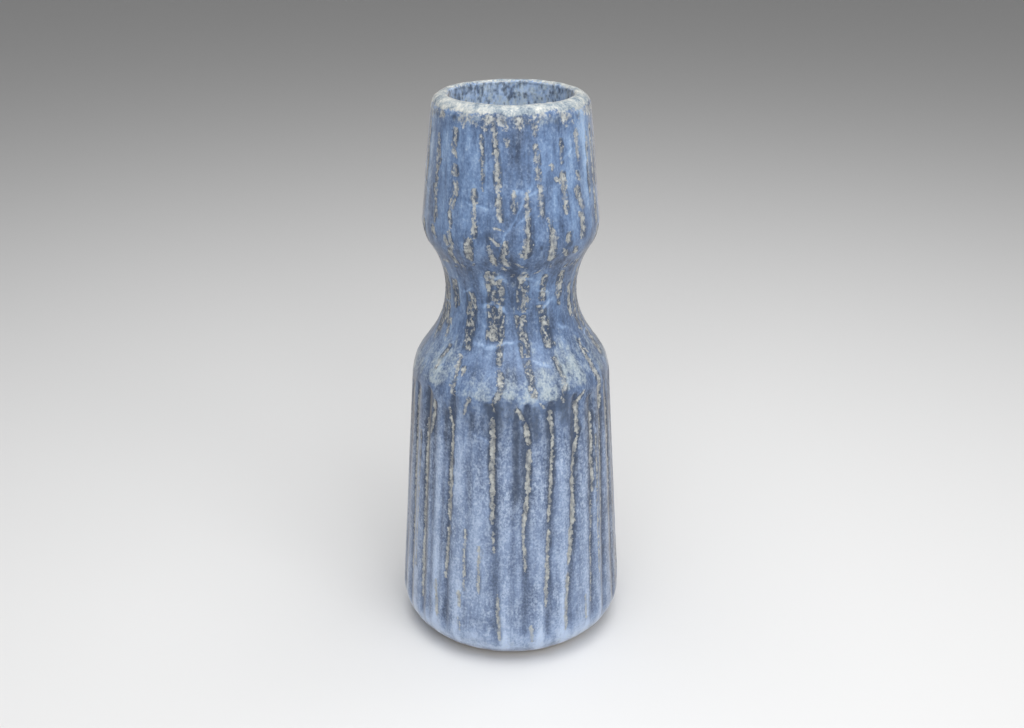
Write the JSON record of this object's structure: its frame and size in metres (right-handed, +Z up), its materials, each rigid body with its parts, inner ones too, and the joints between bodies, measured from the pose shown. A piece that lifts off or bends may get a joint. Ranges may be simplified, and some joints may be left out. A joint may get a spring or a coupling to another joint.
{
  "type": "bud vase",
  "caption": "Tall stoneware bud vase with a flared cup, narrow waist and long ribbed body, in matt blue glaze with a cream lip; holds flower stems and water.",
  "frame": {"origin": "centre of the plane that the foot rests on", "axes": "+Z up along the axis of the vase, from the foot to the mouth"},
  "size_m": [0.087, 0.087, 0.21],
  "materials": {
    "stoneware": "unglazed, matt, fine grog",
    "body_glaze": "satin-matt mottled blue with grey-beige streaks in the grooves",
    "neck_glaze": "satin-matt mottled blue with short grey-beige marks",
    "cup_glaze": "satin-matt mottled blue with grey-beige streaks",
    "lip_glaze": "satin-matt cream",
    "liner_glaze": "satin speckled blue-grey"
  },
  "bodies": {
    "root": {"floor_slab": "stoneware", "body_wall": "stoneware", "shoulder_neck": "stoneware", "cup_wall": "stoneware", "lip_coil": "stoneware", "body_glaze": "body_glaze", "neck_glaze": "neck_glaze", "cup_glaze": "cup_glaze", "lip_glaze": "lip_glaze", "liner_glaze": "liner_glaze"}
  },
  "joints": []
}
